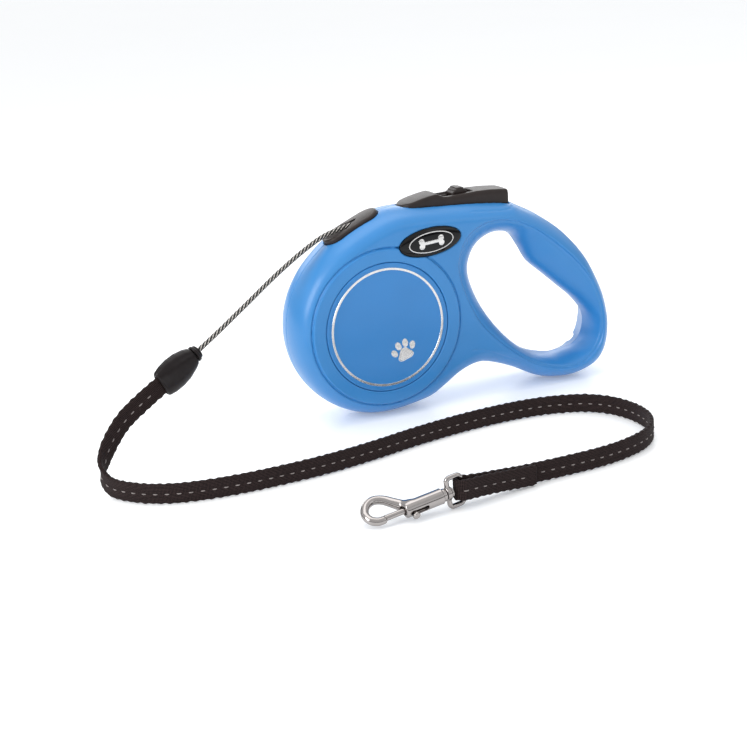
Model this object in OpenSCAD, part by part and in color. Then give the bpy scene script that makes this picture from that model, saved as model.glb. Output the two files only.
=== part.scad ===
// Retractable cord leash: a round reel casing with a loop grip, a taut cord with a stop plug,
// a stitched webbing strap and a swivel bolt snap. Millimetres, +Z up.
// X runs from the reel to the grip, Y is the thickness, and the casing stands on Z = 0.

/* [Casing] */
// Radius of the round reel drum
drum_r = 42; // [41.5:0.1:42.5]
// Thickness over the two disc faces
drum_t = 31; // [31:0.2:32]
// Thickness of the grip loop and the top of the casing
grip_t = 30; // [29.6:0.1:30]
// Distance from the middle of the casing back to the drum axis
axis_back = 39; // [38.8:0.1:39.2]
// Wall thickness of the two shells
wall = 2.2; // [2:0.1:2.4]

/* [Reel] */
// Radius of the ratchet wheel over the teeth
ratchet_r = 38.2; // [37:0.1:38.4]
// Number of ratchet teeth
ratchet_teeth = 24; // [12:1:36]
// Radius of the hub that the cord winds on
hub_r = 12; // [10:0.5:14]
// Radius of the steel axle
axle_r = 4; // [3.5:0.1:4.5]
// Radius of the wound cord
winding_r = 33.5; // [30:0.5:34]
// Number of turns in the return spring
spring_turns = 8; // [6:1:9]

/* [Brake] */
// Length of the brake button
button_l = 52.6; // [52:0.2:53]
// Width of the brake button
button_w = 13; // [12:0.2:13.2]
// Travel of the brake button
button_travel = 3; // [2:0.5:3]

/* [Leash] */
// Diameter of the braided cord
cord_d = 2.6; // [2.4:0.1:2.8]
// Width of the webbing strap
strap_w = 8.5; // [8:0.1:8.6]
// Thickness of the webbing strap
strap_t = 2; // [1.8:0.1:2.2]
// Length of the stop plug along the cord
plug_l = 20; // [18:0.5:21]

/* [Snap hook] */
// Radius of the barrel of the bolt snap
barrel_r = 3.1; // [3:0.1:3.3]
// Radius of the bolt that slides in the barrel
bolt_r = 1.75; // [1.6:0.05:1.8]
// Radius of the hook's curved bar
hook_bar_r = 1.7; // [1.5:0.1:1.8]

/* [Hidden] */

round_fn = 96;
small_fn = 32;
drum_x = -axis_back;
drum_z = drum_r;
half_t = drum_t / 2;
half_g = grip_t / 2;
run_gap = 0.06;
middle_shift = 1.6;
gap = 0.35;

// Rounding of the casing's edge: each layer's depths and how far it is set in
edge_r = 7;
casing_steps = [[0, 7, 0], [7, 11, 1.2], [11, 13.4, 2.6], [13.4, half_g, 5]];
// Layers of the finger hole: depths and share of the way from the hole to the rim
hole_steps = [[-1, 5, 0], [5, 9, 0.15], [9, 12, 0.5], [12, half_g + 1, 0.95]];

// Outline of the grip and the casing's top, from the underside of the drum round the grip to the
// nozzle, then closed inside the drum
casing_points = [[-33, 1.2], [-18.5, 2.8], [-10, 7], [-1.6, 12.2], [7, 14.9], [15, 13.9],
                 [27.5, 9.2], [40, 2.8], [51, 0.6], [60.5, 1.1], [70, 4.8], [75.6, 12],
                 [77.8, 23], [76.6, 34], [73.2, 44.6], [65.9, 58.6], [55, 71], [43, 80], [34, 85],
                 [26, 88.6], [10, 90.6], [-6, 91.6], [-24, 92.4], [-35, 91.4], [-47, 87.2],
                 [-59, 80.6], [-67, 73.2], [-72.6, 65.5], [-75, 56], [-72, 45], [-64, 34],
                 [-56, 24], [-50, 14], [-44, 5]];

// The finger hole where it is narrowest, in the middle plane; it runs clockwise, so that an inset
// of it moves outward
hole_points = [[6, 57], [7.5, 66], [12.5, 72], [20, 74.8], [28.5, 73], [33.3, 66.5],
               [38, 58.5], [46, 51.2], [54, 44], [62, 36.5], [67.5, 28], [65.8, 17.5],
               [57, 12.8], [46, 12.8], [33, 17.5], [21.5, 28], [11.5, 42.5]];
// The same points where the hole opens out at the faces
rim_points = [[-1.2, 60], [0.3, 71], [5, 77.3], [14, 80.8], [25, 79.7], [33.5, 76],
              [41.5, 70.5], [49.6, 63.6], [57.5, 55.8], [65.5, 44.5], [70, 31], [68.3, 17.5],
              [58.5, 9.2], [46, 9.4], [33, 14.6], [18.5, 25.6], [6.3, 40]];
curve_steps = 3;

// Bosses for the four casing screws, as X and Z
screw_points = [[-31, 86], [-1, 18.5], [69.6, 11.8], [34, 80.6]];
screw_head_y = 7;
screw_reach = 9;
screw_r = 1.3;
screw_head_r = 2.5;

// Round face panel let into each side, and the oval badge above it
disc_r = 29;
disc_t = 1.1;
badge_pos = [-16.5, 77.3];
badge_turn = 5;
badge_l = 29.8;
badge_w = 12.4;
badge_y0 = 14.2;
badge_y1 = 16.4;

// Cord guide: its middle on the top of the casing, its lean and its size
guide_pos = [-48.2, 0, 86.65];
guide_lean = 24;
guide_l = 27.6;
guide_w = 12.6;
guide_depth = 5;
guide_rise = 1.2;
guide_bore_r = 1.7;
cord_exit = [-48, 0, 86.4];
exit_dip = 10;
scoop_r = 7;
scoop_rise = 5;
// Inner run of the cord, from the guide over the top of the reel
lead_in_route = [[-47.6, 0, 86.5], [-44, 0, 86.9], [-41, -0.3, 85.2], [-36.5, -1.2, 81.9],
                 [-29, -3.6, 77.2], [-21.8, -5.5, 72.7]];

// Layers of the reel across the thickness
flange_y0 = -12.2;
channel_y0 = -10.8;
ratchet_y0 = 0.4;
ratchet_y1 = 2.6;
cover_y0 = 11.6;
cover_y1 = 12.3;
cup_r = 31;
cup_wall = 1.8;
spring_band = 0.5;
axle_reach = 13.9;
ratchet_root = ratchet_r - 3;

// Brake button: front end, rear end and the two levels of its top
button_x0 = -25;
button_x1 = button_x0 + button_l;
button_z = 87.6;
button_top = 92.2;
slot_z = button_z - button_travel - 0.3;
slider_x = 4.3;
slider_travel = 4.5;
pawl_x = -21.5;
pawl_half = 1.2;
pawl_z = drum_z + sqrt(ratchet_r ^ 2 - (pawl_x - drum_x - pawl_half) ^ 2) + 0.4;
pawl_angle = acos((pawl_x - drum_x) / (ratchet_r - 1.4));
coil_x = 20;

// The route of the free cord, from the guide down to the stop plug
cord_route = [cord_exit, [-52, -0.2, 85.7], [-56, -0.6, 84.9], [-60, -1.2, 83.9], [-64, -2.2, 82.6],
              [-68, -3.2, 80.9], [-74, -5, 78.2], [-80, -6.7, 75.1], [-86, -8.4, 71.8],
              [-92, -10.1, 68.3], [-100, -12.4, 63.4], [-108, -14.7, 58.6], [-116, -17, 53.8],
              [-128.2, -20.4, 46.8]];
plug_turn = 194.6;
plug_dip = 29;

// The route of the strap's centre line, from the stop plug round to the snap hook
strap_route = [[-138.4, -23, 41], [-144.9, -24.7, 37.2], [-151.3, -25.7, 33.5],
               [-159.4, -26.7, 28.2], [-164.4, -28, 24.2], [-169.4, -30, 18.6],
               [-172.8, -32, 13.4], [-174.6, -34.4, 9], [-174.4, -37.6, 6],
               [-172.6, -42.8, 4.5], [-168, -50, 4.4], [-161, -56.6, 4.4], [-151, -61.6, 4.4],
               [-138, -64.4, 4.4], [-123, -65.4, 4.4], [-108, -65, 4.4], [-93, -63.8, 4.4],
               [-78, -61.4, 4.4], [-63, -58, 4.4], [-48, -54, 4.4], [-33, -50.8, 4.4],
               [-18, -48.4, 4.4], [-3, -47.2, 4.4], [10, -47.2, 4.4], [22, -49, 4.4],
               [33, -53, 4.4], [38, -56.4, 4.4], [42, -60.6, 4.4], [45, -66, 4.4], [47, -73, 4.4],
               [47.6, -81, 4.4], [46.4, -89, 4.4], [43.4, -96, 4.4], [38.6, -102, 4.4],
               [31, -107.6, 4.4], [19, -112.2, 4.4], [6, -114.6, 4.4], [-8, -115.4, 4.4],
               [-19, -115.8, 4.5], [-30, -116.6, 4.9], [-40, -118, 5.9], [-48, -119.3, 6.7],
               [-54, -120, 7.3]];

// Snap hook frame: the middle of the bail's cross bar and the way the barrel points
hook_pos = [-58, -121.9, 7.6];
hook_turn = 183;
hook_dip = 8;
hook_roll = 66;
bail_bar_r = 1;
bail_half = 5.9;
bail_l = 6.1;
rivet_r = 1.25;
rivet_head_r = 1.9;
rivet_head_x = 4.3;
collar_r = 2.6;
barrel_x0 = 9;
barrel_x1 = 25;
chamber_x0 = 10.2;
bolt_travel = 5;
bolt_x0 = 16.5;
bolt_x1 = 24.4;
bolt_tip_x = 33.5;
knob_x = 22;
knob_turn = 90;
// Centre line of the hook's curved bar, along the barrel and above it
hook_route = [[22, 1.4], [24.2, 2.6], [26.6, 5.2], [29.5, 8.4], [33, 9.8], [36.6, 8.4],
              [38.8, 5], [38.3, 1.6], [36.2, -0.2], [34, -0.5]];

// The strap's end, round the bail's bar and back along itself to where it is sewn down
loop_r = bail_bar_r + strap_t / 2 + 0.7;
strap_loop = concat(
    [for (a = [90:30:270]) [hook_pos[0] + loop_r * cos(a), hook_pos[1] + loop_r * sin(a),
        hook_pos[2]]],
    [[-54, -123.6, 7.3], [-48, -122, 6.7], [-40, -120.3, 5.9], [-30, -118.9, 5],
     [-24.5, -118.4, 4.8]]);

// One point of a smooth curve between b and c
function curve_point(a, b, c, d, t) =
    0.5 * (2 * b + (c - a) * t + (2 * a - 5 * b + 4 * c - d) * t * t
    + (3 * b - a - 3 * c + d) * t * t * t);

// A smooth closed curve through points
function closed_curve(p, steps) = let (n = len(p))
    [for (i = [0:n - 1], k = [0:steps - 1])
        curve_point(p[(i + n - 1) % n], p[i], p[(i + 1) % n], p[(i + 2) % n], k / steps)];

// A smooth curve through points, open at its ends
function open_curve(p, steps) = let (n = len(p))
    concat([for (i = [0:n - 2], k = [0:steps - 1])
        curve_point(p[max(i - 1, 0)], p[i], p[i + 1], p[min(i + 2, n - 1)], k / steps)],
        [p[n - 1]]);

function unit(v) = v / norm(v);

// A closed outline moved inward by d
function inset(p, d) = let (n = len(p))
    [for (i = [0:n - 1]) let (t = unit(p[(i + 1) % n] - p[(i + n - 1) % n]))
        p[i] + d * [-t[1], t[0]]];

// Direction of a route at one of its points
function route_way(p, i) = unit(p[min(i + 1, len(p) - 1)] - p[max(i - 1, 0)]);

// A ring of points round a route, made of sideways and upward offsets
function ring_at(p, i, shape, flat) =
    let (w = route_way(p, i), side = flat ? [0, 1, 0] : unit([w[1], -w[0], 0]), up = cross(side, w))
    [for (q = shape) p[i] + q[0] * side + q[1] * up];

function round_shape(r, sides) = [for (k = [0:sides - 1])
    r * [cos(k * 360 / sides), sin(k * 360 / sides)]];

function flat_shape(w, t) = [[t / 2, -w / 2], [t / 2, w / 2], [-t / 2, w / 2], [-t / 2, -w / 2]];

casing_outline = closed_curve(casing_points, curve_steps);
hole_outline = closed_curve(hole_points, curve_steps);
rim_outline = closed_curve(rim_points, curve_steps);
rim_flare = 1.6;

// Closed solid through rings of points
module skin(rings) {
    n = len(rings[0]);
    m = len(rings);
    sides = [for (j = [0:m - 2], i = [0:n - 1], k = [0, 1]) k == 0
        ? [j * n + i, (j + 1) * n + (i + 1) % n, (j + 1) * n + i]
        : [j * n + i, j * n + (i + 1) % n, (j + 1) * n + (i + 1) % n]];
    caps = [[for (i = [n - 1:-1:0]) i], [for (i = [0:n - 1]) (m - 1) * n + i]];
    polyhedron([for (r = rings) each r], concat(sides, caps));
}

// Tube or strap of one cross-section along a route; a flat route stays in one X and Z plane
module sweep(route, shape, flat = false) {
    skin([for (i = [0:len(route) - 1]) ring_at(route, i, shape, flat)]);
}

module on_axis() {
    translate([drum_x, 0, drum_z]) children();
}

// Extrudes a flat X and Z shape from depth y0 to depth y1
module layer(y0, y1) {
    translate([0, y1, 0]) rotate([90, 0, 0]) linear_extrude(y1 - y0) children();
}

module on_guide() {
    translate(guide_pos) rotate([0, -guide_lean, 0]) children();
}

module on_plug() {
    translate(cord_route[len(cord_route) - 1]) rotate([0, plug_dip, plug_turn]) children();
}

module on_bail() {
    translate(hook_pos) rotate([0, hook_dip, hook_turn]) children();
}

// The hook lies rolled over on its side, which the swivel allows
module on_hook() {
    on_bail() rotate([hook_roll, 0, 0]) children();
}

module along_x(r, x0, x1) {
    translate([x0, 0, 0]) rotate([0, 90, 0]) cylinder(r = r, h = x1 - x0, $fn = small_fn);
}

// Stadium outline centred on the origin
module stadium(l, w) {
    square([l - w, w], center = true);
    for (s = [-1, 1]) translate([s * (l - w) / 2, 0]) circle(d = w, $fn = small_fn);
}

// Plan of the brake button, round at the front
module button_plan(grow) {
    w = button_w + 2 * grow;
    translate([button_x0 + button_w / 2, 0]) circle(d = w, $fn = small_fn);
    translate([button_x0 + button_w / 2, -w / 2])
        square([button_l - button_w / 2 + grow, w]);
}

// One layer of the casing's outside, set in from the outline at the middle plane
module casing_layer(step) {
    on_axis() layer(-step[1], -step[0]) circle(drum_r - step[2], $fn = round_fn);
    layer(-step[1], -step[0]) polygon(inset(casing_outline, step[2]));
}

// Finger hole, narrowest in the middle plane and opening out towards the face
module hole_half() {
    for (s = hole_steps) layer(-s[1], -s[0])
        polygon(hole_outline + s[2] * (rim_outline - hole_outline));
    layer(-half_g - 1, -half_g + 1.2) polygon(inset(rim_outline, rim_flare));
}

module screw_places() {
    for (p = screw_points) translate([p[0], 0, p[1]]) children();
}

// Hollow of one shell in two depths, past the wall of the finger hole, the screw bosses
// and the seat of the brake spring
module hollow_half(boss_r) {
    difference() {
        for (cut = [[-8, 0.4], [-half_g + wall, 3.2]]) {
            on_axis() layer(cut[0], 1) circle(drum_r - wall - cut[1], $fn = round_fn);
            layer(cut[0], 1) polygon(inset(casing_outline, wall + cut[1]));
        }
        layer(-half_g, 2) polygon(inset(rim_outline, wall));
        screw_places() layer(-half_g, 2) circle(boss_r, $fn = small_fn);
        translate([coil_x - 5, -5.5, 70]) cube([10, 8, 12.6]);
    }
}

// Front shell; the rear shell is its mirror image with its own screw seats
module shell_half(boss_r) {
    difference() {
        union() {
            for (step = casing_steps) casing_layer(step);
            on_axis() layer(-half_t, 0) circle(drum_r - edge_r - 1, $fn = round_fn);
        }
        hollow_half(boss_r);
        hole_half();
        on_axis() layer(-axle_reach - 0.05, 1) circle(axle_r + 0.03, $fn = small_fn);
        on_axis() layer(-half_t - 1, -half_t + disc_t - 0.1) circle(disc_r + 0.1, $fn = round_fn);
        on_badge() layer(-badge_y1 - 1, -badge_y0 + 0.05) badge_plan(0.05);
        on_guide() translate([0, 0, -guide_depth - 0.05])
            linear_extrude(20) stadium(guide_l + 0.1, guide_w + 0.1);
        translate([0, 0, slot_z]) linear_extrude(20) button_plan(gap);
    }
}

module on_badge() {
    translate([badge_pos[0], 0, badge_pos[1]]) rotate([0, -badge_turn, 0]) children();
}

module badge_plan(grow) {
    polygon([for (a = [0:7.5:352.5])
        [(badge_l / 2 + grow) * cos(a), (badge_w / 2 + grow) * sin(a)]]);
}

module front_shell() {
    color([0.16, 0.42, 0.78]) difference() {
        shell_half(3);
        screw_places() layer(-screw_reach - 1, 1) circle(screw_r + 0.05, $fn = small_fn);
    }
}

module rear_shell() {
    color([0.16, 0.42, 0.78]) mirror([0, 1, 0]) difference() {
        shell_half(3.7);
        screw_places() {
            layer(-half_g - 2, 1) circle(screw_r + 0.4, $fn = small_fn);
            layer(-half_g - 2, -screw_head_y) circle(screw_head_r + 0.2, $fn = small_fn);
        }
    }
}

module disc() {
    on_axis() layer(-half_t, -half_t + disc_t - 0.12) circle(disc_r, $fn = round_fn);
}

module front_disc() {
    color([0.15, 0.40, 0.76]) disc();
}

module rear_disc() {
    color([0.15, 0.40, 0.76]) mirror([0, 1, 0]) disc();
}

module badge() {
    on_badge() {
        layer(-badge_y1 + 0.8, -badge_y0) badge_plan(0);
        layer(-badge_y1, -badge_y0) badge_plan(-1.2);
    }
}

module front_badge() {
    color([0.03, 0.03, 0.03]) badge();
}

module rear_badge() {
    color([0.03, 0.03, 0.03]) mirror([0, 1, 0]) badge();
}

module cord_guide() {
    color([0.12, 0.11, 0.11]) difference() {
        on_guide() translate([0, 0, -guide_depth])
            linear_extrude(guide_depth + guide_rise) stadium(guide_l, guide_w);
        translate(cord_exit) rotate([0, exit_dip, 180]) {
            translate([0, 0, scoop_rise]) along_x(scoop_r, 0.4, 30);
            along_x(guide_bore_r, -5, 1);
        }
        translate([-43.4, 0, 87.1]) sphere(r = guide_bore_r, $fn = small_fn);
        translate([-43.4, 0, 87.1]) rotate([0, 38, 0]) along_x(guide_bore_r + 0.2, 0, 14);
    }
}

module axle() {
    color([0.75, 0.76, 0.78]) on_axis() difference() {
        layer(-axle_reach, axle_reach) circle(axle_r, $fn = small_fn);
        translate([0, (ratchet_y1 + cover_y0) / 2, axle_r / 2])
            cube([0.9, cover_y0 - ratchet_y1 - 1, axle_r + 0.4], center = true);
    }
}

module axle_washers() {
    color([0.8, 0.8, 0.82]) on_axis() for (y = [flange_y0 - 0.4, cover_y1 + 0.1])
        layer(y, y + 0.3) difference() {
            circle(axle_r + 5, $fn = small_fn);
            circle(axle_r + 0.1, $fn = small_fn);
        }
}

module screw() {
    difference() {
        union() {
            layer(-screw_reach, screw_head_y) circle(screw_r, $fn = small_fn);
            layer(screw_head_y, screw_head_y + 1.8) circle(screw_head_r, $fn = small_fn);
        }
        for (a = [0, 90]) rotate([0, a, 0]) translate([0, screw_head_y + 1.6, 0])
            cube([3.4, 1.6, 0.7], center = true);
    }
}

module casing_screws() {
    color([0.7, 0.7, 0.72]) screw_places() screw();
}

// Ratchet wheel: teeth with gaps, one gap under the pawl at rest
module ratchet_plan() {
    pitch = 360 / ratchet_teeth;
    polygon([for (i = [0:ratchet_teeth - 1]) let (a = pawl_angle + i * pitch)
        each [ratchet_root * [cos(a - 4.2), sin(a - 4.2)],
              ratchet_root * [cos(a + 4.2), sin(a + 4.2)],
              ratchet_r * [cos(a + 4.8), sin(a + 4.8)],
              ratchet_r * [cos(a + pitch - 4.8), sin(a + pitch - 4.8)]]]);
}

module reel() {
    color([0.86, 0.86, 0.84]) on_axis() difference() {
        union() {
            layer(flange_y0, channel_y0) circle(ratchet_r - 2.2, $fn = round_fn);
            layer(channel_y0, ratchet_y0) circle(hub_r, $fn = small_fn * 2);
            layer(ratchet_y0, ratchet_y1) ratchet_plan();
            layer(ratchet_y1, cover_y0) difference() {
                circle(cup_r, $fn = round_fn);
                circle(cup_r - cup_wall, $fn = round_fn);
            }
        }
        layer(flange_y0 - 1, ratchet_y1 + 1) circle(axle_r + run_gap, $fn = small_fn);
    }
}

module reel_cover() {
    color([0.82, 0.82, 0.80]) on_axis() layer(cover_y0, cover_y1) difference() {
        circle(cup_r, $fn = round_fn);
        circle(axle_r + run_gap, $fn = small_fn);
    }
}

module cord_winding() {
    color([0.15, 0.15, 0.15]) on_axis() layer(channel_y0 + 0.1, ratchet_y0 - 0.1) difference() {
        circle(winding_r, $fn = round_fn);
        circle(hub_r + 0.03, $fn = small_fn * 2);
    }
}

module cord_lead_in() {
    color([0.15, 0.15, 0.15]) sweep(open_curve(lead_in_route, 3), round_shape(cord_d / 2, 8));
}

// Flat spiral of spring steel between the axle and the wall of the cup
module spring_plan() {
    r0 = axle_r + 0.3;
    r1 = cup_r - cup_wall - spring_band - 0.4;
    steps = spring_turns * 20;
    edge = [for (k = [0:steps]) let (a = 90 + k * 18) (r0 + (r1 - r0) * k / steps) * [cos(a), sin(a)]];
    far = [for (k = [steps:-1:0]) let (a = 90 + k * 18)
        (r0 + spring_band + (r1 - r0) * k / steps) * [cos(a), sin(a)]];
    polygon(concat(edge, far));
}

module mainspring() {
    color([0.55, 0.57, 0.6]) on_axis() layer(ratchet_y1 + 0.6, cover_y0 - 0.6) spring_plan();
}

// Side view of the brake button
module button_side() {
    polygon([[button_x0, button_z], [button_x0, 92.8], [-17, 94.7], [-8.4, 96.2], [-6.6, 96],
             [-4.6, 94.8], [12, 95.1], [20, 94.9], [button_x1 - 1.2, 94.2], [button_x1, 93.2],
             [button_x1, button_z]]);
}

module brake_button() {
    color([0.12, 0.11, 0.11]) {
        difference() {
            intersection() {
                linear_extrude(120) button_plan(0);
                layer(-button_w, button_w) button_side();
            }
            translate([-19, -4.4, button_z - 1]) cube([43, 8.8, button_top - button_z + 1]);
            translate([slider_x - slider_travel - 3.8, -1.9, 80]) cube([slider_travel + 7.6, 3.8, 20]);
        }
        translate([pawl_x - pawl_half, 0.7, pawl_z]) cube([2 * pawl_half, 1.6, 92 - pawl_z]);
    }
}

module lock_slider() {
    color([0.14, 0.13, 0.13]) {
        layer(-4.2, 4.2) polygon([[slider_x - 3.6, 95.4], [slider_x - 0.8, 97.2],
                                  [slider_x + 1.4, 97.2], [slider_x + 4, 95.4]]);
        translate([slider_x - 3.4, -1.6, 91.6]) cube([6.8, 3.2, 4]);
        translate([slider_x - 4.5, -3.6, 90.8]) cube([9, 7.2, 1.2]);
    }
}

// Helical spring along +Z
module coil(r, wire, h, turns) {
    steps = turns * 16;
    path = [for (k = [0:steps]) [r * cos(k * 22.5), r * sin(k * 22.5), wire + (h - 2 * wire) * k / steps]];
    sweep(path, round_shape(wire, 6));
}

module brake_spring() {
    color([0.7, 0.72, 0.75]) translate([coil_x, 0, 82.7])
        coil(3.2, 0.35, button_top - 82.8, 5);
}

module cord() {
    color([0.15, 0.15, 0.15]) sweep(open_curve(cord_route, 1), round_shape(cord_d / 2, 8));
}

module cord_ferrule() {
    color([0.12, 0.11, 0.11]) on_plug() difference() {
        union() {
            along_x(3, -1.6, 1);
            along_x(3.7, -0.4, 1);
        }
        along_x(cord_d / 2 + 0.3, -5, 1.5);
    }
}

module stop_plug() {
    color([0.11, 0.10, 0.10]) on_plug() difference() {
        hull() {
            translate([3.2, 0, 0]) scale([0.6, 1, 1]) sphere(r = 3.6, $fn = small_fn);
            translate([12, 0, 3]) sphere(r = 4, $fn = small_fn);
            translate([12, 0, -3]) sphere(r = 4, $fn = small_fn);
            translate([plug_l - 1.2, 0, 0]) cube([2, strap_t + 3, strap_w + 2.6], center = true);
        }
        along_x(cord_d / 2 + 0.05, -5, 8);
        translate([-2, -10, -10]) cube([3, 20, 20]);
        translate([10, -strap_t / 2 - 0.25, -strap_w / 2 - 0.25])
            cube([30, strap_t + 0.5, strap_w + 0.5]);
    }
}

module strap() {
    color([0.13, 0.12, 0.12]) sweep(concat(strap_route, strap_loop), flat_shape(strap_w, strap_t));
}

// Closed bail of round bar: one cross bar in the strap's loop and one with the swivel hole
module swivel_bail() {
    color([0.75, 0.76, 0.78]) on_bail() difference() {
        union() {
            for (x = [0, bail_l]) translate([x, 0, -bail_half])
                cylinder(r = bail_bar_r, h = 2 * bail_half, $fn = small_fn);
            for (s = [-1, 1]) translate([0, 0, s * bail_half]) {
                along_x(bail_bar_r, 0, bail_l);
                for (x = [0, bail_l]) translate([x, 0, 0]) sphere(r = bail_bar_r, $fn = small_fn);
            }
            along_x(2.6, bail_l - bail_bar_r, bail_l + bail_bar_r - 0.1);
        }
        along_x(rivet_r + run_gap, rivet_head_x, barrel_x0);
    }
}

module hook_rivet() {
    color([0.7, 0.71, 0.73]) on_hook() {
        along_x(rivet_head_r, rivet_head_x, rivet_head_x + 0.6);
        along_x(rivet_r, rivet_head_x, chamber_x0 - 0.6);
    }
}

module hook_body() {
    bar = [for (q = open_curve(hook_route, 2)) [q[0], 0, q[1]]];
    color([0.75, 0.76, 0.78]) on_hook() difference() {
        union() {
            along_x(barrel_r, barrel_x0, barrel_x1);
            along_x(collar_r, bail_l + bail_bar_r + 0.2, barrel_x0 + 1);
            sweep(bar, round_shape(hook_bar_r, 8), true);
        }
        along_x(rivet_r + 0.02, 0, chamber_x0 - 0.58);
        along_x(bolt_r + run_gap, chamber_x0, bolt_tip_x - 2);
        rotate([-knob_turn, 0, 0]) translate([knob_x - bolt_travel - 1.2, 0, -1.2])
            cube([bolt_travel + 2.4, 10, 2.4]);
    }
}

module hook_bolt() {
    color([0.75, 0.76, 0.78]) on_hook() {
        along_x(bolt_r, bolt_x0, bolt_x1);
        along_x(1.15, bolt_x0, bolt_tip_x);
        rotate([-knob_turn, 0, 0]) translate([knob_x, 0, 0]) rotate([-90, 0, 0]) {
            cylinder(r = 0.9, h = 4.4, $fn = small_fn);
            translate([0, 0, 3.5]) cylinder(r = 1.5, h = 1.4, $fn = small_fn);
        }
    }
}

module bolt_spring() {
    color([0.6, 0.62, 0.65]) on_hook() translate([chamber_x0 + 0.1, 0, 0]) rotate([0, 90, 0])
        coil(1.2, 0.25, bolt_x0 - chamber_x0 - 0.2, 7);
}

// Moves everything so that the middle of the casing is on X = 0
module in_frame() {
    translate([middle_shift, 0, 0]) children();
}

in_frame() front_shell();
in_frame() rear_shell();
in_frame() front_disc();
in_frame() rear_disc();
in_frame() front_badge();
in_frame() rear_badge();
in_frame() cord_guide();
in_frame() axle();
in_frame() axle_washers();
in_frame() casing_screws();
in_frame() reel();
in_frame() reel_cover();
in_frame() cord_winding();
in_frame() cord_lead_in();
in_frame() mainspring();
in_frame() brake_button();
in_frame() brake_spring();
in_frame() lock_slider();
in_frame() cord();
in_frame() cord_ferrule();
in_frame() stop_plug();
in_frame() strap();
in_frame() swivel_bail();
in_frame() hook_body();
in_frame() hook_rivet();
in_frame() hook_bolt();
in_frame() bolt_spring();
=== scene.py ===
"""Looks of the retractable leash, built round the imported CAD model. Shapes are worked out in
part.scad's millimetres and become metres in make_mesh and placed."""
import math

import bpy
import numpy as np
from mathutils import Matrix, Vector


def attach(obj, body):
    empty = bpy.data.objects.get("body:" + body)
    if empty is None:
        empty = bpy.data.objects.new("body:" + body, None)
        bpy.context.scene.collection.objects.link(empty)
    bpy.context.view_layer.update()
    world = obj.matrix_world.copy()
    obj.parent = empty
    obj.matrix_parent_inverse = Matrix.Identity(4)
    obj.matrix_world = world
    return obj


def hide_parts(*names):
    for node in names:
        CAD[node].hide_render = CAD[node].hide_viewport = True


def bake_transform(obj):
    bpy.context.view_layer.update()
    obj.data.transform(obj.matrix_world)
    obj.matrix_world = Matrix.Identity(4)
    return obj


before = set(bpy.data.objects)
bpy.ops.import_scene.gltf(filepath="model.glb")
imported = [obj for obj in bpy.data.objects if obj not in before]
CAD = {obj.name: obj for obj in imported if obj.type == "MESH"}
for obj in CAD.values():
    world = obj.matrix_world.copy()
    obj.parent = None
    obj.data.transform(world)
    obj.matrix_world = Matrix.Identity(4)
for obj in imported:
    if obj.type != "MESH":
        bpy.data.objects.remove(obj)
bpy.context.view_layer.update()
MM = 0.001
MIDDLE_SHIFT = 1.6  # part.scad moves the middle of the casing to X = 0

# The CAD model's driving values, in millimetres. Outlines and screws are X and Z.
DRUM = np.array([-39.0, 42.0])
DRUM_R, HALF_T, HALF_G, WALL = 42.0, 15.5, 15.0, 2.2
DISC_R, DISC_BACK = 29.0, 14.52
BADGE = np.array([-16.5, 77.3])
BADGE_L, BADGE_W, BADGE_TURN = 14.9, 6.2, 5.0
GUIDE, GUIDE_LEAN, GUIDE_L, GUIDE_W = (-48.2, 0.0, 86.65), 24.0, 27.6, 12.6
BUTTON_X0, BUTTON_X1, BUTTON_W = -25.0, 27.6, 13.0
SLIDER_X, CORD_R = 4.3, 1.3
STRAP_W, STRAP_T = 8.5, 2.0
PLUG_TURN, PLUG_DIP = 194.6, 29.0
HOOK, HOOK_TURN, HOOK_DIP, HOOK_ROLL = (-58.0, -121.9, 7.6), 183.0, 8.0, 66.0
SCREWS = [(-31, 86), (-1, 18.5), (69.6, 11.8), (34, 80.6)]
CASING = [(-33, 1.2), (-18.5, 2.8), (-10, 7), (-1.6, 12.2), (7, 14.9), (15, 13.9), (27.5, 9.2),
          (40, 2.8), (51, 0.6), (60.5, 1.1), (70, 4.8), (75.6, 12), (77.8, 23), (76.6, 34),
          (73.2, 44.6), (65.9, 58.6), (55, 71), (43, 80), (34, 85), (26, 88.6), (10, 90.6),
          (-6, 91.6), (-24, 92.4), (-35, 91.4), (-47, 87.2), (-59, 80.6), (-67, 73.2),
          (-72.6, 65.5), (-75, 56), (-72, 45), (-64, 34), (-56, 24), (-50, 14), (-44, 5)]
HOLE = [(6, 57), (7.5, 66), (12.5, 72), (20, 74.8), (28.5, 73), (33.3, 66.5), (38, 58.5),
        (46, 51.2), (54, 44), (62, 36.5), (67.6, 28), (66.9, 19.4), (62.6, 14.3), (55, 12.6),
        (46, 12.8), (33, 17.5), (21.5, 28), (11.5, 42.5)]
# The finger hole's edge on the rear face and on the front face
REAR_RIM = [(-1.2, 60), (0.3, 71), (5, 77.3), (14, 80.8), (25, 79.7), (34, 76.5), (43, 71.5),
            (51.8, 65.4), (60.4, 57.6), (68.6, 46), (73.2, 32), (72.2, 18.5), (66.5, 10.5),
            (58, 7.8), (46, 8.4), (33, 14.6), (18.5, 25.6), (6.3, 40)]
RIM = [(-1.2, 60), (0.3, 71), (5, 77.3), (14, 80.8), (25, 79.7), (33.5, 76), (41.5, 70.5),
       (49.6, 63.6), (57.5, 55.8), (65.5, 44.5), (70, 31), (68.3, 17.5), (58.5, 9.2), (46, 9.4),
       (33, 14.6), (18.5, 25.6), (6.3, 40)]
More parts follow.
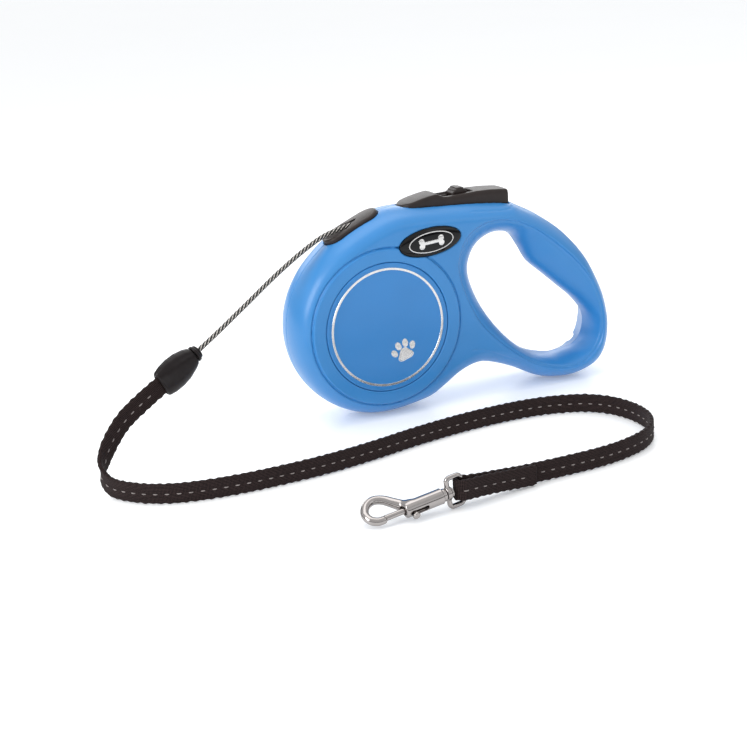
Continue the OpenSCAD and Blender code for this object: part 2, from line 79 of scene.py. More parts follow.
# Routes of the cord, the strap, its folded end and the hook's bar
CORD = [(-48, 0, 86.4), (-52, -0.2, 85.7), (-56, -0.6, 84.9), (-60, -1.2, 83.9),
        (-64, -2.2, 82.6), (-68, -3.2, 80.9), (-74, -5, 78.2), (-80, -6.7, 75.1),
        (-86, -8.4, 71.8), (-92, -10.1, 68.3), (-100, -12.4, 63.4), (-108, -14.7, 58.6),
        (-116, -17, 53.8), (-128.2, -20.4, 46.8)]
STRAP = [(-138.4, -23, 41), (-144.9, -24.7, 37.2), (-151.3, -25.7, 33.5), (-159.4, -26.7, 28.2),
         (-164.4, -28, 24.2), (-169.4, -30, 18.6), (-172.8, -32, 13.4), (-174.6, -34.4, 9),
         (-174.4, -37.6, 6), (-172.6, -42.8, 4.5), (-168, -50, 4.4), (-161, -56.6, 4.4),
         (-151, -61.6, 4.4), (-138, -64.4, 4.4), (-123, -65.4, 4.4), (-108, -65, 4.4),
         (-93, -63.8, 4.4), (-78, -61.4, 4.4), (-63, -58, 4.4), (-48, -54, 4.4),
         (-33, -50.8, 4.4), (-18, -48.4, 4.4), (-3, -47.2, 4.4), (10, -47.2, 4.4), (22, -49, 4.4),
         (33, -53, 4.4), (38, -56.4, 4.4), (42, -60.6, 4.4), (45, -66, 4.4), (47, -73, 4.4),
         (47.6, -81, 4.4), (46.4, -89, 4.4), (43.4, -96, 4.4), (38.6, -102, 4.4),
         (31, -107.6, 4.4), (19, -112.2, 4.4), (6, -114.6, 4.4), (-8, -115.4, 4.4),
         (-19, -115.8, 4.5), (-30, -116.6, 4.9), (-40, -118, 5.9), (-48, -119.3, 6.7),
         (-54, -120, 7.3)]
LOOP_R = 2.7  # from the bail's bar to the middle of the strap that goes round it
FOLD = [(-52, -119.8, 7.1), (-54, -120, 7.3)] + [
    (HOOK[0] + LOOP_R * math.cos(math.radians(a)), HOOK[1] + LOOP_R * math.sin(math.radians(a)),
     HOOK[2]) for a in range(90, 271, 30)] + [
    (-54, -123.6, 7.3), (-48, -122, 6.7), (-40, -120.3, 5.9), (-30, -118.9, 5),
    (-24.5, -118.4, 4.8)]
HOOK_BAR = [(22, 1.4), (24.2, 2.6), (26.6, 5.2), (29.5, 8.4), (33, 9.8), (36.6, 8.4), (38.8, 5),
            (38.3, 1.6), (36.2, -0.2), (34, -0.5)]


# ------------------------------------------------------------------ camera and light
def add_camera():
    lens_px, width_px, height_px = 1500.0, 747, 746
    middle_px = (374.4, 319.7)
    data = bpy.data.cameras.new("camera")
    camera = bpy.data.objects.new("camera", data)
    bpy.context.scene.collection.objects.link(camera)
    back = Vector((-0.3688, -0.8903, 0.2671)).normalized()
    level = Vector((0, 0, 1)).cross(back).normalized()
    raised = back.cross(level)
    roll = math.radians(-3.41)
    right = level * math.cos(roll) + raised * math.sin(roll)
    up = back.cross(right)
    place = Vector((MIDDLE_SHIFT * MM - 0.28658, -0.59761, 0.22127))
    camera.matrix_world = (Matrix.Translation(place)
                           @ Matrix((right, up, back)).transposed().to_4x4())
    data.sensor_width = 36
    data.lens = lens_px * data.sensor_width / width_px
    data.shift_x = (width_px / 2 - middle_px[0]) / width_px
    data.shift_y = (middle_px[1] - height_px / 2) / width_px
    data.clip_start = 0.01
    bpy.context.scene.camera = camera


def add_area(name, place, aim, size, power, colour=(1, 1, 1)):
    data = bpy.data.lights.new(name, "AREA")
    data.shape = "RECTANGLE"
    data.size, data.size_y = size
    data.energy = power
    data.color = colour
    lamp = bpy.data.objects.new(name, data)
    bpy.context.scene.collection.objects.link(lamp)
    lamp.location = place
    lamp.visible_camera = False
    lamp.rotation_euler = (Vector(aim) - Vector(place)).to_track_quat("-Z", "Y").to_euler()


add_camera()


# ------------------------------------------------------------------ curves
def smooth_line(points, steps, closed=False):
    """Catmull-Rom curve through points, as part.scad draws it."""
    p = np.asarray(points, float)
    n = len(p)
    out = []
    for i in range(n if closed else n - 1):
        a, b, c, d = ((p[(i - 1) % n], p[i], p[(i + 1) % n], p[(i + 2) % n]) if closed else
                      (p[max(i - 1, 0)], p[i], p[i + 1], p[min(i + 2, n - 1)]))
        for t in np.arange(steps) / steps:
            out.append(0.5 * (2 * b + (c - a) * t + (2 * a - 5 * b + 4 * c - d) * t * t
                              + (3 * b - a - 3 * c + d) * t ** 3))
    if not closed:
        out.append(p[-1])
    return np.array(out)


def even_line(points, step):
    """The same curve with points at even steps, and its length."""
    p = smooth_line(points, 24)
    run = np.concatenate([[0], np.cumsum(np.linalg.norm(np.diff(p, axis=0), axis=1))])
    at = np.linspace(0, run[-1], max(2, int(round(run[-1] / step)) + 1))
    return np.stack([np.interp(at, run, p[:, k]) for k in range(p.shape[1])], 1), at


def relaxed(p, passes):
    """Evens out the small kinks of a line, keeping its ends."""
    for _ in range(passes):
        p[1:-1] = 0.25 * p[:-2] + 0.5 * p[1:-1] + 0.25 * p[2:]
    return p


def outline_depth(points, x, z):
    """Distance inside a closed outline; negative outside."""
    best = np.full(np.broadcast(x, z).shape, 1e9)
    inside = np.zeros(best.shape, bool)
    for (ax, az), (bx, bz) in zip(points, np.roll(points, -1, 0)):
        ex, ez = bx - ax, bz - az
        wx, wz = x - ax, z - az
        t = np.clip((wx * ex + wz * ez) / (ex * ex + ez * ez), 0, 1)
        best = np.minimum(best, (wx - t * ex) ** 2 + (wz - t * ez) ** 2)
        if az != bz:
            inside ^= ((az > z) != (bz > z)) & (x < ex * (z - az) / ez + ax)
    return np.where(inside, 1, -1) * np.sqrt(best)


def softened(field, passes):
    for _ in range(passes):
        for axis in (0, 1):
            f = np.moveaxis(field, axis, 0)
            g = np.concatenate([2 * f[:1] - f[1:2], f, 2 * f[-1:] - f[-2:-1]])
            field = np.moveaxis(0.25 * g[:-2] + 0.5 * g[1:-1] + 0.25 * g[2:], 0, axis)
    return field


# ------------------------------------------------------------------ solids from distance fields
def join(a, b, k):
    """Smallest of two distances, rounded where they meet: the union of two solids."""
    h = np.clip(0.5 + 0.5 * (b - a) / k, 0, 1)
    return b * (1 - h) + a * h - k * h * (1 - h)


def common(a, b, k):
    return -join(-a, -b, k)


def cut(a, b, k):
    return common(a, -b, k)


def rounded(p, q, r):
    """Distance to a solid with two half-distances p and q, its edge rounded by r."""
    return np.hypot(np.maximum(p + r, 0), np.maximum(q + r, 0)) + np.minimum(
        np.maximum(p + r, q + r), 0) - r


def rod(x, y, z, x0, x1, radius, edge=0.3):
    """Cylinder along X."""
    return rounded(np.hypot(y, z) - radius, np.abs(x - (x0 + x1) / 2) - (x1 - x0) / 2, edge)


def block(x, y, z, low, high, edge=0.3):
    q = [np.abs(v - (a + b) / 2) - (b - a) / 2 + edge for v, a, b in zip((x, y, z), low, high)]
    out = np.sqrt(sum(np.maximum(v, 0) ** 2 for v in q))
    return out + np.minimum(np.maximum(np.maximum(q[0], q[1]), q[2]), 0) - edge


def ball(x, y, z, middle, radii):
    q = [(v - c) / r for v, c, r in zip((x, y, z), middle, radii)]
    k = np.sqrt(q[0] ** 2 + q[1] ** 2 + q[2] ** 2)
    return (k - 1) * min(radii)


def tube(x, y, z, line, radii):
    best = None
    for a, b, ra, rb in zip(line[:-1], line[1:], radii[:-1], radii[1:]):
        e = b - a
        t = np.clip(((x - a[0]) * e[0] + (y - a[1]) * e[1] + (z - a[2]) * e[2]) / (e @ e), 0, 1)
        d = np.sqrt((x - a[0] - t * e[0]) ** 2 + (y - a[1] - t * e[1]) ** 2
                    + (z - a[2] - t * e[2]) ** 2) - (ra + (rb - ra) * t)
        best = d if best is None else np.minimum(best, d)
    return best


def sampled(value, axes, p):
    low, part = [], []
    for k in range(3):
        at = np.interp(p[:, k], axes[k], np.arange(len(axes[k])))
        i = np.clip(np.floor(at).astype(int), 0, len(axes[k]) - 2)
        low.append(i)
        part.append(at - i)
    out = 0
    for a in (0, 1):
        for b in (0, 1):
            for c in (0, 1):
                weight = ((part[0] if a else 1 - part[0]) * (part[1] if b else 1 - part[1])
                          * (part[2] if c else 1 - part[2]))
                out = out + weight * value[low[0] + a, low[1] + b, low[2] + c]
    return out


def surface_of(axes, value):
    """Points and four-sided faces of the surface where value is 0; it is negative inside."""
    inside = value < 0
    core = [slice(0, -1), slice(1, None)]
    total = sum(inside[core[a], core[b], core[c]].astype(np.int8)
                for a in (0, 1) for b in (0, 1) for c in (0, 1))
    active = (total > 0) & (total < 8)
    number = np.full(active.shape, -1)
    cells = np.argwhere(active)
    number[active] = np.arange(len(cells))
    where, count = np.zeros((len(cells), 3)), np.zeros(len(cells))
    for axis in range(3):
        for pair in ((0, 0), (0, 1), (1, 0), (1, 1)):
            lo = np.insert(pair, axis, 0)
            p = cells + lo
            q = p + np.eye(3, dtype=int)[axis]
            u, v = value[tuple(p.T)], value[tuple(q.T)]
            crosses = (u < 0) != (v < 0)
            t = np.where(crosses, u / np.where(crosses, u - v, 1), 0)
            where += (p + t[:, None] * (q - p)) * crosses[:, None]
            count += crosses
    where /= count[:, None]
    points = np.stack([np.interp(where[:, k], np.arange(len(axes[k])), axes[k])
                       for k in range(3)], 1)
    faces = []
    for axis in range(3):
        lo, hi = [slice(None)] * 3, [slice(None)] * 3
        lo[axis], hi[axis] = core
        edge = np.argwhere(inside[tuple(lo)] != inside[tuple(hi)])
        b, c = (axis + 1) % 3, (axis + 2) % 3
        edge = edge[(edge[:, b] > 0) & (edge[:, c] > 0) & (edge[:, b] < value.shape[b] - 1)
                    & (edge[:, c] < value.shape[c] - 1)]
        eb, ec = np.eye(3, dtype=int)[b], np.eye(3, dtype=int)[c]
        quad = np.stack([number[tuple((edge - s).T)] for s in (0 * eb, eb, eb + ec, ec)], 1)
        out = inside[tuple(edge.T)]
        faces.append(np.where(out[:, None], quad, quad[:, ::-1]))
    step = 0.5 * min(np.diff(a).min() for a in axes)
    for _ in range(4):
        f = sampled(value, axes, points)
        g = np.stack([(sampled(value, axes, points + d) - sampled(value, axes, points - d))
                      / (2 * step) for d in np.eye(3) * step], 1)
        move = -f[:, None] * g / np.maximum((g * g).sum(1), 0.05)[:, None]
        size = np.linalg.norm(move, axis=1)
        points += move * np.minimum(1, 0.4 * step / np.maximum(size, 1e-9))[:, None]
    return points, np.concatenate(faces)


def make_mesh(name, points, faces, material, place=None, smooth=True, uv=None):
    """A new object from points in millimetres; place turns and moves them into the frame."""
    mesh = bpy.data.meshes.new(name)
    mesh.from_pydata((np.asarray(points) * MM).tolist(), [], [list(f) for f in faces])
    if place is not None:
        mesh.transform(place)
    mesh.transform(Matrix.Translation((MIDDLE_SHIFT * MM, 0, 0)))
    mesh.validate()
    if smooth:
        mesh.shade_smooth()
    if uv is not None:
        layer = mesh.uv_layers.new(name="run")
        corner = np.empty(len(mesh.loops), int)
        mesh.loops.foreach_get("vertex_index", corner)
        layer.data.foreach_set("uv", np.asarray(uv)[corner].ravel())
    mesh.materials.append(material)
    obj = bpy.data.objects.new(name, mesh)
    bpy.context.scene.collection.objects.link(obj)
    return obj


def skin(first, rows, ring, flip=False):
    """Faces between neighbouring rows of points, each row a closed ring."""
    faces = []
    for i in range(rows - 1):
        for k in range(ring):
            a, j = first + i * ring, (k + 1) % ring
            quad = (a + k, a + j, a + ring + j, a + ring + k)
            faces.append(quad[::-1] if flip else quad)
    return faces


def solid(name, low, high, step, field, material, place=None):
    """Object from a distance field sampled every step between two corners."""
    axes = [np.arange(a - 2 * step, b + 2.5 * step, step) for a, b in zip(low, high)]
    x, y, z = np.meshgrid(*axes, indexing="ij", sparse=True)
    value = np.array(np.broadcast_to(field(x, y, z), [len(a) for a in axes]))
    points, faces = surface_of(axes, value)
    return make_mesh(name, points, faces.tolist(), material, place)


def piece(obj, body, slot, *nodes):
    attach(obj, body)
    if nodes:
        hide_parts(*nodes)
    return obj


def placed(at, turn, dip):
    """Matrix of part.scad's translate(at) rotate([0, dip, turn])."""
    return (Matrix.Translation(Vector(at) * MM) @ Matrix.Rotation(math.radians(turn), 4, "Z")
            @ Matrix.Rotation(math.radians(dip), 4, "Y"))


# ------------------------------------------------------------------ materials
def node_material(name, colour, rough, metal=0.0, coat=0.0, coat_rough=0.1, sheen=0.0,
                  specular=0.5, vary=0.06, vary_scale=90.0, rough_vary=0.08, rough_scale=300.0,
                  grain=0.0, grain_scale=3000.0, wave=None, ior=1.5):
    """Principled material whose colour, roughness and bump vary with noise over the surface."""
    material = bpy.data.materials.new(name)
    material.use_nodes = True
    nodes, links = material.node_tree.nodes, material.node_tree.links
    shader = nodes["Principled BSDF"]
    shader.inputs["Metallic"].default_value = metal
    shader.inputs["Coat Weight"].default_value = coat
    shader.inputs["Coat Roughness"].default_value = coat_rough
    shader.inputs["Sheen Weight"].default_value = sheen
    shader.inputs["Sheen Roughness"].default_value = 0.4
    shader.inputs["Specular IOR Level"].default_value = specular
    shader.inputs["IOR"].default_value = ior
    where = nodes.new("ShaderNodeTexCoord")

    def noise(scale, detail):
        n = nodes.new("ShaderNodeTexNoise")
        n.inputs["Scale"].default_value = scale
        n.inputs["Detail"].default_value = detail
        links.new(where.outputs["Object"], n.inputs["Vector"])
        return n.outputs["Fac"]

    ramp = nodes.new("ShaderNodeValToRGB")
    ramp.color_ramp.elements[0].position = 0.3
    ramp.color_ramp.elements[1].position = 0.7
    for element, share in zip(ramp.color_ramp.elements, (1 - vary, 1 + vary)):
        element.color = [min(1, c * share) for c in colour] + [1]
    links.new(noise(vary_scale, 4), ramp.inputs["Fac"])
    links.new(ramp.outputs["Color"], shader.inputs["Base Color"])
    span = nodes.new("ShaderNodeMapRange")
    span.inputs["To Min"].default_value = max(0.02, rough * (1 - rough_vary))
    span.inputs["To Max"].default_value = rough * (1 + rough_vary)
    links.new(noise(rough_scale, 3), span.inputs["Value"])
    links.new(span.outputs["Result"], shader.inputs["Roughness"])
    if grain:
        bump = nodes.new("ShaderNodeBump")
        bump.inputs["Strength"].default_value = 1.0
        bump.inputs["Distance"].default_value = grain * MM
        links.new(noise(grain_scale, 2), bump.inputs["Height"])
        links.new(bump.outputs["Normal"], shader.inputs["Normal"])
    return material


def woven_material(name, dark, light, thread, sheen=0.3, rough=0.75, depth=0.12, specular=0.25):
    """Webbing: fine threads along and across the UV map, which is in millimetres."""
    material = node_material(name, dark, rough, sheen=sheen, vary=0.0, specular=specular)
    nodes, links = material.node_tree.nodes, material.node_tree.links
    shader = nodes["Principled BSDF"]
    uv = nodes.new("ShaderNodeUVMap")
    uv.uv_map = "run"
    parts = nodes.new("ShaderNodeSeparateXYZ")
    links.new(uv.outputs["UV"], parts.inputs["Vector"])

    def maths(kind, a, b):
        n = nodes.new("ShaderNodeMath")
        n.operation = kind
        for socket, value in zip(n.inputs, (a, b)):
            if isinstance(value, (int, float)):
                socket.default_value = value
            elif value is not None:
                links.new(value, socket)
        return n.outputs[0]

    turns = 2 * math.pi / thread
    slant = maths("SINE", maths("MULTIPLY", maths("ADD", parts.outputs["X"],
                                                 parts.outputs["Y"]), turns), None)
    back_slant = maths("SINE", maths("MULTIPLY", maths("SUBTRACT", parts.outputs["X"],
                                                      parts.outputs["Y"]), turns), None)
    rows = maths("SINE", maths("MULTIPLY", parts.outputs["Y"], turns * 1.7), None)
    weave = maths("ADD", maths("MULTIPLY", slant, back_slant), maths("MULTIPLY", rows, 0.4))
    height = maths("MULTIPLY_ADD", weave, 0.33)
    nodes[height.node.name].inputs[2].default_value = 0.5
    fuzz = nodes.new("ShaderNodeTexNoise")
    fuzz.inputs["Scale"].default_value = 3500
    where = nodes.new("ShaderNodeTexCoord")
    links.new(where.outputs["Object"], fuzz.inputs["Vector"])
    mixed = maths("ADD", height, maths("MULTIPLY", fuzz.outputs["Fac"], 0.5))
    # Painted light: the ramp turns the weave's bump height into colour, so the hollows get painted
    # shade in the dark colour and the raised threads get a painted highlight in the light colour.
    ramp = nodes.new("ShaderNodeValToRGB")
    ramp.color_ramp.elements[0].position = 0.62
    ramp.color_ramp.elements[1].position = 1.0
    ramp.color_ramp.elements[0].color = (*dark, 1)
    ramp.color_ramp.elements[1].color = (*light, 1)
    links.new(mixed, ramp.inputs["Fac"])
    links.new(ramp.outputs["Color"], shader.inputs["Base Color"])
    bump = nodes.new("ShaderNodeBump")
    bump.inputs["Distance"].default_value = depth * MM
    links.new(mixed, bump.inputs["Height"])
    links.new(bump.outputs["Normal"], shader.inputs["Normal"])
    return material


BLUE = (0.030, 0.226, 0.56)
blue = node_material("casing_blue", BLUE, 0.36, coat=0.25, coat_rough=0.24, vary=0.03,
                     vary_scale=40, grain=0.02, grain_scale=2600, rough_vary=0.12)
disc_blue = node_material("disc_blue", (0.024, 0.208, 0.54), 0.30, coat=0.2, coat_rough=0.18,
                          vary=0.03, vary_scale=40, grain=0.012, grain_scale=2600)
dark = node_material("dark_plastic", (0.019, 0.0115, 0.0098), 0.40, vary=0.15, vary_scale=200,
                     grain=0.05, grain_scale=2800, specular=0.36)
plug_dark = node_material("plug_plastic", (0.0075, 0.0045, 0.0048), 0.30, specular=0.25, vary=0.12,
                          vary_scale=200, grain=0.02, grain_scale=2500)
gloss = node_material("badge_gloss", (0.003, 0.003, 0.0035), 0.1, coat=0.15, coat_rough=0.03,
                      specular=0.2, vary=0.1, rough_vary=0.2)
foil = node_material("silver_foil", (0.72, 0.71, 0.70), 0.26, metal=1.0, vary=0.05,
                     vary_scale=400, grain=0.006, grain_scale=4000, rough_vary=0.2)
chrome = node_material("chrome", (0.37, 0.345, 0.335), 0.09, metal=1.0, vary=0.04,
                       vary_scale=300, rough_vary=0.5, rough_scale=500, grain=0.004,
                       grain_scale=900)
steel = node_material("turned_steel", (0.55, 0.56, 0.58), 0.3, metal=1.0, vary=0.05,
                      grain=0.01, grain_scale=2500)
spring_steel = node_material("spring_steel", (0.30, 0.31, 0.35), 0.33, metal=1.0, vary=0.1,
                             grain=0.008, grain_scale=2500)
acetal = node_material("acetal", (0.72, 0.72, 0.69), 0.42, vary=0.03, grain=0.02)
# The two webbing colours are painted shade for the weave's hollows (near-black) and a painted
# highlight for its raised threads (brownish grey).
webbing = woven_material("webbing", (0.0012, 0.0006, 0.0007), (0.052, 0.033, 0.032), 1.05,
                         sheen=0.05, specular=0.12)
thread = node_material("stitch_thread", (0.23, 0.20, 0.19), 0.7, sheen=0.4, vary=0.25,
                       vary_scale=900, grain=0.06, grain_scale=4500)
strand_black = node_material("strand_black", (0.004, 0.0035, 0.0035), 0.55, sheen=0.3, vary=0.3,
                             vary_scale=1500, grain=0.05, grain_scale=5000)
strand_grey = node_material("strand_grey", (0.62, 0.58, 0.54), 0.6, sheen=0.3, vary=0.15,
                            vary_scale=1500, grain=0.05, grain_scale=5000)
floor_white = node_material("floor_white", (0.90, 0.91, 0.92), 0.32, vary=0.004, vary_scale=3,
                            rough_vary=0.04, rough_scale=8, specular=0.12)
floor_shader = floor_white.node_tree.nodes["Principled BSDF"]
floor_shader.inputs["Emission Color"].default_value = (1, 1, 1, 1)
floor_shader.inputs["Emission Strength"].default_value = 0.2

for node, material in (("axle", steel), ("axle_washers", steel), ("casing_screws", steel),
                       ("reel", acetal), ("reel_cover", acetal), ("mainspring", spring_steel),
                       ("brake_spring", spring_steel), ("bolt_spring", spring_steel),
                       ("cord_winding", strand_black), ("cord_lead_in", strand_black),
                       ("hook_rivet", chrome), ("hook_bolt", chrome)):
    CAD[node].data.materials.clear()
    CAD[node].data.materials.append(material)


# ------------------------------------------------------------------ casing
STEP = 0.45
EDGE, EDGE_POWER = 8.5, 2.1      # how far in the rounding of the casing's edge reaches
FACE_R, FACE_LINE_R = 35.0, 35.45  # the drum's raised flat face, and the groove round it
LIP_T = 13.4                     # depth at which the finger hole's lip turns outward
GROOVE = 0.8
# Grooves in the faces, under the button and over the neck, as X and Z
UNDER_BUTTON = [(2, 87.6), (10.7, 86.8), (17.2, 86.2), (22.6, 85.8), (26.5, 86.1), (28.9, 87.4)]
NECK_LINE = [(0.8, 23.7), (3.6, 24.3), (8, 23.3), (14.5, 20.3), (21.1, 17.1), (28.9, 13.6)]


def casing_half(side):
    """Front shell for side -1, rear shell for side 1, hollow, split at the middle plane."""
    xs = np.arange(-86, 86.3, STEP)
    zs = np.arange(-5, 99, STEP)
    ts = np.concatenate([np.arange(-0.6, 0.61, 0.15), np.arange(1.0, 13.6, STEP),
                         np.arange(13.8, 16.3, STEP / 3)])
    x2, z2 = np.meshgrid(xs, zs, indexing="ij")
    from_axis = np.hypot(x2 - DRUM[0], z2 - DRUM[1])
    depth = softened(outline_depth(smooth_line(CASING, 10, True), x2, z2), 6)
    hole = -softened(outline_depth(smooth_line(HOLE, 10, True), x2, z2), 6)
    rim_points = smooth_line(RIM if side < 0 else REAR_RIM, 10, True)
    rim = -softened(outline_depth(rim_points, x2, z2), 6)
    depth = -join(-depth, -(DRUM_R - from_axis), 1.6)
    depth, hole, rim, from_axis = (f[:, None, :] for f in (depth, hole, rim, from_axis))
    x, t, z = np.meshgrid(xs, ts, zs, indexing="ij", sparse=True)
    curve = ((np.maximum(EDGE - depth, 0) / EDGE) ** EDGE_POWER
             + (np.abs(t) / HALF_G) ** EDGE_POWER + 1e-9) ** (1 / EDGE_POWER) - 1
    slopes = np.gradient(curve, xs, ts, zs)
    body = curve / np.maximum(np.sqrt(sum(s * s for s in slopes)), 0.03)
    plateau = rounded(from_axis - FACE_R, t - HALF_T, 0.5)
    body = join(body, plateau + 0 * body, 0.12)
    share = np.clip((t - 2) / 11.4, 0, 1) ** 2.2 if side < 0 else np.clip(t / LIP_T, 0, 1)
    inner = (1 - share) * hole + share * rim
    lip = rim + np.where(t < LIP_T, 3.0, 1.15) * (LIP_T - t)
    body = common(body, -join(inner, lip, 0.9), 1.0)
    cavity = body + WALL
    shell = cut(body, cavity, 0.3)
    for px, pz in SCREWS:
        boss = np.hypot(x - px, z - pz)
        post = np.maximum(boss - (3.0 if side < 0 else 3.7), body)
        shell = np.minimum(shell, post + 0 * body)
        shell = np.maximum(shell, (1.35 if side < 0 else 1.7) - boss - (t > 9.2) * (side < 0) * 99)
        if side > 0:
            shell = np.maximum(shell, np.minimum(2.7 - boss, t - 7))
    shell = np.minimum(shell, np.maximum(np.maximum(from_axis - 7.5, 12.75 - t), body))
    shell = np.maximum(shell, np.minimum(4.03 - from_axis, 13.95 - t))
    shell = cut(shell, np.maximum(from_axis - DISC_R - 0.15, 14.42 - t), 0.5)
    turn = math.radians(BADGE_TURN)
    bx = (x - BADGE[0]) * math.cos(turn) + (z - BADGE[1]) * math.sin(turn)
    bz = (z - BADGE[1]) * math.cos(turn) - (x - BADGE[0]) * math.sin(turn)
    oval = (np.hypot(bx / BADGE_L, bz / BADGE_W) - 1) * BADGE_W
    shell = cut(shell, np.maximum(oval - 0.12, 14.15 - t), 0.3)
    groove = np.maximum(1 - np.abs(from_axis - FACE_LINE_R) / 0.5,
                        1 - np.abs(rim - 1.0) / 0.55)
    shell = shell + GROOVE * np.maximum(groove, 0) * (t > 8) * (body > -1.2)
    for line in (UNDER_BUTTON, NECK_LINE):
        points = smooth_line(line, 6)
        away = tube(x, 0 * x, z, np.stack([points[:, 0], 0 * points[:, 0], points[:, 1]], 1),
                    np.interp(np.arange(len(points)), [0, 4, len(points) - 5, len(points) - 1],
                              [0.05, 0.5, 0.5, 0.05]))
        shell = shell + 0.32 * np.clip(-away / 0.5, 0, 1) * (t > 8)
    lean = math.radians(GUIDE_LEAN)
    gx = (x - GUIDE[0]) * math.cos(lean) + (z - GUIDE[2]) * math.sin(lean)
    gz = (z - GUIDE[2]) * math.cos(lean) - (x - GUIDE[0]) * math.sin(lean)
    slot = np.hypot(np.maximum(np.abs(gx) - (GUIDE_L - GUIDE_W) / 2, 0), t) - GUIDE_W / 2
    shell = cut(shell, np.maximum(slot - 0.12, -5.05 - gz), 0.45)
    plan = button_plan(x, t)
    shell = cut(shell, np.maximum(plan - 0.35, 84.3 - z), 0.45)
    shell = common(shell, 0.03 - t, 0.12)
    points, faces = surface_of([xs, ts, zs], shell)
    points[:, 1] *= side
    if side < 0:
        faces = faces[:, ::-1]
    name = "front_casing" if side < 0 else "rear_casing"
    obj = make_mesh(name, points, faces.tolist(), blue)
    return piece(obj, "casing", "casing_plastic", "front_shell" if side < 0 else "rear_shell")


def button_plan(x, y):
    """Distance outside the brake button's plan, which is round at the front."""
    r = BUTTON_W / 2
    nose = BUTTON_X0 + r
    return np.where(x < nose, np.hypot(x - nose, y) - r,
                    rounded(np.abs(y) - r + 0 * x, x - BUTTON_X1 + 0 * y, 1.2))


casing_half(-1)
casing_half(1)


# ------------------------------------------------------------------ discs, rings and paw prints
def spun(name, profile, turns, material, side):
    """Solid turned round the drum's axis; profile is radius and depth from the middle plane."""
    points, faces = [], []
    n, m = len(profile), turns
    for k in range(m):
        a = 2 * math.pi * k / m
        for r, t in profile:
            points.append((DRUM[0] + r * math.cos(a), side * t, DRUM[1] + r * math.sin(a)))
    for k in range(m):
        for i in range(n):
            j = (i + 1) % n
            a, b = k * n, ((k + 1) % m) * n
            quad = [a + i, a + j, b + j, b + i]
            faces.append(quad if side > 0 else quad[::-1])
    obj = make_mesh(name, points, faces, material)
    obj.data.set_sharp_from_angle(angle=math.radians(35))
    return obj


def turned(x, z, angle):
    return (x * math.cos(angle) - z * math.sin(angle), x * math.sin(angle) + z * math.cos(angle))


def disc(side):
    """Face panel, its silver ring and a paw print of five pads."""
    word = "front" if side < 0 else "rear"
    face = HALF_T - 0.02
    profile = [(0.01, face - 0.1), (10, face - 0.1), (20, face - 0.1), (27.6, face - 0.1),
               (27.9, face - 0.02), (28.3, face), (28.6, face - 0.06), (28.85, face - 0.25),
               (28.98, face - 0.5), (28.98, DISC_BACK), (0.01, DISC_BACK)]
    obj = spun(word + "_disc_panel", profile, 192, disc_blue, side)
    piece(obj, "casing", "disc_plastic", word + "_disc")
    foil_top, foil_low = face, face - 0.14
    ring = [(25.65, foil_low), (25.75, foil_top - 0.02), (26.2, foil_top),
            (26.65, foil_top - 0.02), (26.75, foil_low)]
    piece(spun(word + "_disc_ring", ring, 192, foil, side), "casing", "disc_plastic")
    print_points, print_faces = [], []
    paw = [(0, 0, 3.6, 2.9, 0), (-4.6, 2.6, 1.35, 1.9, 24), (-1.75, 5.0, 1.4, 2.0, 8),
           (1.75, 5.0, 1.4, 2.0, -8), (4.6, 2.6, 1.35, 1.9, -24)]
    tilt = math.radians(18 * -side)
    paw_x, paw_z = -31.5 if side < 0 else -46.5, 28.4
    for cx, cz, rx, rz, turn in paw:
        start = len(print_points)
        rings = [(0.02, foil_top + 0.02), (0.8, foil_top), (0.97, foil_top - 0.04),
                 (1.0, foil_low)]
        for share, t in rings:
            for k in range(36):
                a = 2 * math.pi * k / 36
                lobe = 1 + (0.16 * math.cos(3 * (a - math.pi / 2)) if rx > 3 else 0)
                px, pz = rx * share * lobe * math.cos(a), rz * share * lobe * math.sin(a)
                qx, qz = turned(px, pz, math.radians(turn))
                wx, wz = turned(cx + qx, cz + qz, tilt)
                print_points.append((paw_x + wx, side * t, paw_z + wz))
        print_faces += skin(start, len(rings), 36, side > 0)
        cap = [start + k for k in range(36)]
        print_faces.append(cap[::-1] if side < 0 else cap)
    obj = make_mesh(word + "_paw_print", print_points, print_faces, foil)
    piece(obj, "casing", "disc_plastic")


disc(-1)
disc(1)


